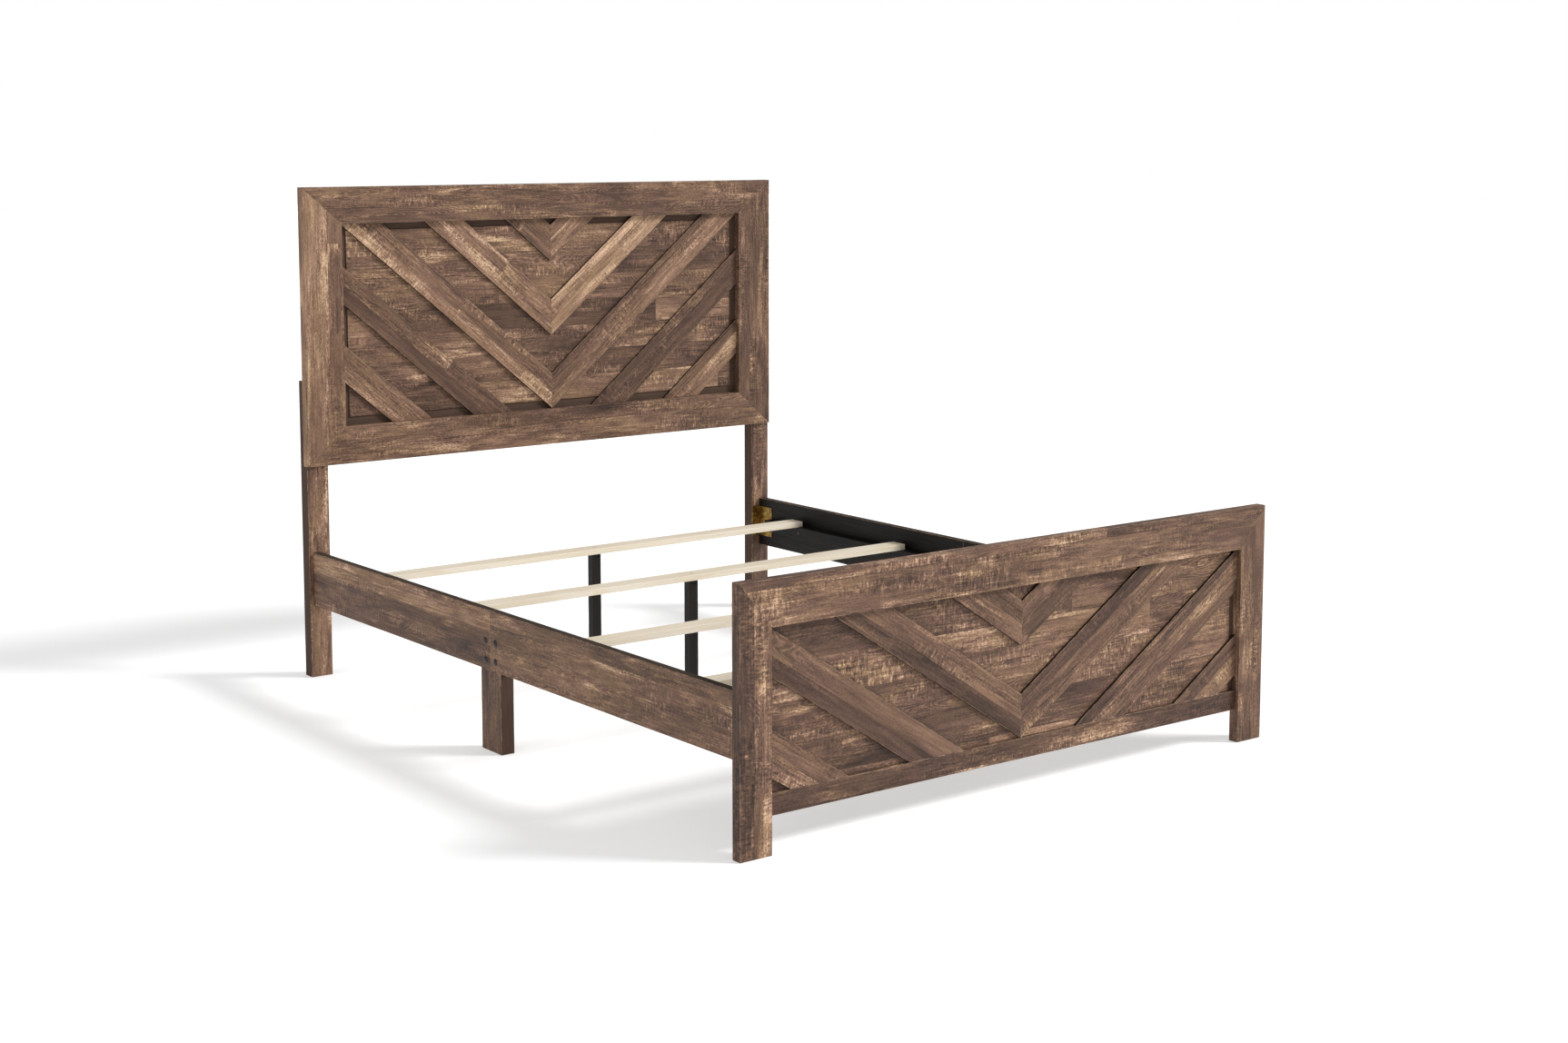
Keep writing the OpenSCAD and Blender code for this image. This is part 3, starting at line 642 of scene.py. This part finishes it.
for end in ("headboard", "footboard"):
    for side, sign in (("left", -1), ("right", 1)):
        slope = chevron_slope(end, side)
        turn = (0.0, sign * slope, 0.0)
        for number, tones in enumerate(BOARD_TONES[f"{end}_{side}"], 1):
            node = f"{end}_board_{number}_{side}"
            seed = next(seeds)
            corners = [v.co for v in nodes[node].data.vertices]
            lower = min(p.z * math.cos(slope) - abs(p.x) * math.sin(slope) for p in corners)
            plank_from = lower + BOARD_WIDTH * (LOWER_STRIP[side] + STRIP_STEP * (seed % 3))
            wood = rustic_wood(node + "_wood", turn, seed, BOARD_PLANK, plank_from, tones,
                               plank_length=1.3, contrast=0.08, stretch=2.0, clouds=0.4)
            # Every side face of a board gets this painted shade, near black
            edge = dark_edging_and_shade(node + "_edge", turn, BOARD_SIDE_SHADE)
            finished(node, [wood, edge, arris], dark_sides, highlight_arrises=True)

# Slats, ledgers and posts
for number in range(1, 5):
    finished(f"slat_{number}", [pine_wood(f"slat_{number}_pine", number)], ease=SLAT_ARRIS)
    finished(f"centre_post_{number}", [black_paint(f"post_{number}_paint", ALONG_Z)])
for node in ("left_ledgers", "right_ledgers"):
    finished(node, [black_paint(node + "_paint", ALONG_Y, LEDGER_PAINT)])

# Hardware
repaint("rail_joint_bolts", metal("black_bolt", BLACK_BOLT, 0.36, metallic=0.0))
zinc = metal("zinc", ZINC, 0.34)
for node in ("rail_joint_nuts", "slat_screws", "headboard_leg_bolts"):
    repaint(node, zinc)
repaint("ledger_screws", metal("dark_screw", DARK_SCREW, 0.4))
yellow_zinc = metal("yellow_zinc", YELLOW_ZINC, 0.42, YELLOW_ZINC_STAIN)
for node in ("corner_brackets", "bracket_screws"):
    repaint(node, yellow_zinc)
beech = plain_wood("beech", ALONG_X, BEECH)
for node in ("headboard_dowels", "footboard_dowels"):
    repaint(node, beech)
repaint("post_glides", plastic("glide_plastic", GLIDE))


# ---- Floor, light and camera ----

# In metres: the floor reaches this far each way, and lies this far under the legs
FLOOR_REACH = 40.0
FLOOR_DROP = 0.0005
# The paper glows a little, as over a light table, so that shadows stay light
PAPER_GLOW = 0.35
# The backdrop is seen as white, and lights the object less strongly than it looks
BACKDROP_LIGHT = 0.5
BACKDROP_SEEN = 1.0
CAMERA_PLACE = (-3.612, -4.826, 1.552)
# In degrees: how far the camera looks down, and how far it is turned from +Y towards +X
CAMERA_DOWN = 6.68
CAMERA_HEADING = 37.57


def paper_floor():
    """A wide sheet of pale paper under the legs."""
    mesh = bpy.data.meshes.new("floor")
    bm = bmesh.new()
    bmesh.ops.create_grid(bm, x_segments=1, y_segments=1, size=FLOOR_REACH)
    bm.to_mesh(mesh)
    bm.free()
    paper = Shader("floor_paper")
    paper.surface.inputs["Emission Color"].default_value = (1.0, 1.0, 1.0, 1.0)
    mesh.materials.append(paper.finish(PAPER, 0.9, Emission_Strength=PAPER_GLOW))
    floor = bpy.data.objects.new("floor", mesh)
    floor.location.z = -FLOOR_DROP
    bpy.context.scene.collection.objects.link(floor)
    floor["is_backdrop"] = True


def studio_world():
    """An even white backdrop all round."""
    world = bpy.data.worlds.new("studio")
    world.use_nodes = True
    tree = world.node_tree
    backdrop = tree.nodes["Background"]
    backdrop.inputs["Color"].default_value = (1.0, 1.0, 1.0, 1.0)
    ray = tree.nodes.new("ShaderNodeLightPath")
    strength = tree.nodes.new("ShaderNodeMapRange")
    strength.inputs["To Min"].default_value = BACKDROP_LIGHT
    strength.inputs["To Max"].default_value = BACKDROP_SEEN
    tree.links.new(ray.outputs["Is Camera Ray"], strength.inputs["Value"])
    tree.links.new(strength.outputs["Result"], backdrop.inputs["Strength"])
    bpy.context.scene.world = world


def soft_light(name, direction, strength, spread):
    """Even light from a direction. spread is how wide its source looks, in degrees."""
    data = bpy.data.lights.new(name, "SUN")
    data.energy = strength
    data.angle = math.radians(spread)
    light = bpy.data.objects.new(name, data)
    light.rotation_euler = Vector(direction).to_track_quat("Z", "Y").to_euler()
    bpy.context.scene.collection.objects.link(light)


paper_floor()
studio_world()
soft_light("key", (0.62, -0.50, 0.60), strength=2.9, spread=17)
soft_light("fill", (-0.80, -0.35, 0.50), strength=0.35, spread=20)
bpy.context.scene.view_settings.view_transform = "Standard"

camera_data = bpy.data.cameras.new("camera")
camera_data.sensor_width = 36.0
camera_data.lens = 52.0
camera_data.shift_y = -0.08
camera = bpy.data.objects.new("camera", camera_data)
camera.location = CAMERA_PLACE
camera.rotation_euler = (math.radians(90 - CAMERA_DOWN), 0.0, math.radians(-CAMERA_HEADING))
bpy.context.scene.collection.objects.link(camera)
bpy.context.scene.camera = camera

low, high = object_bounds()
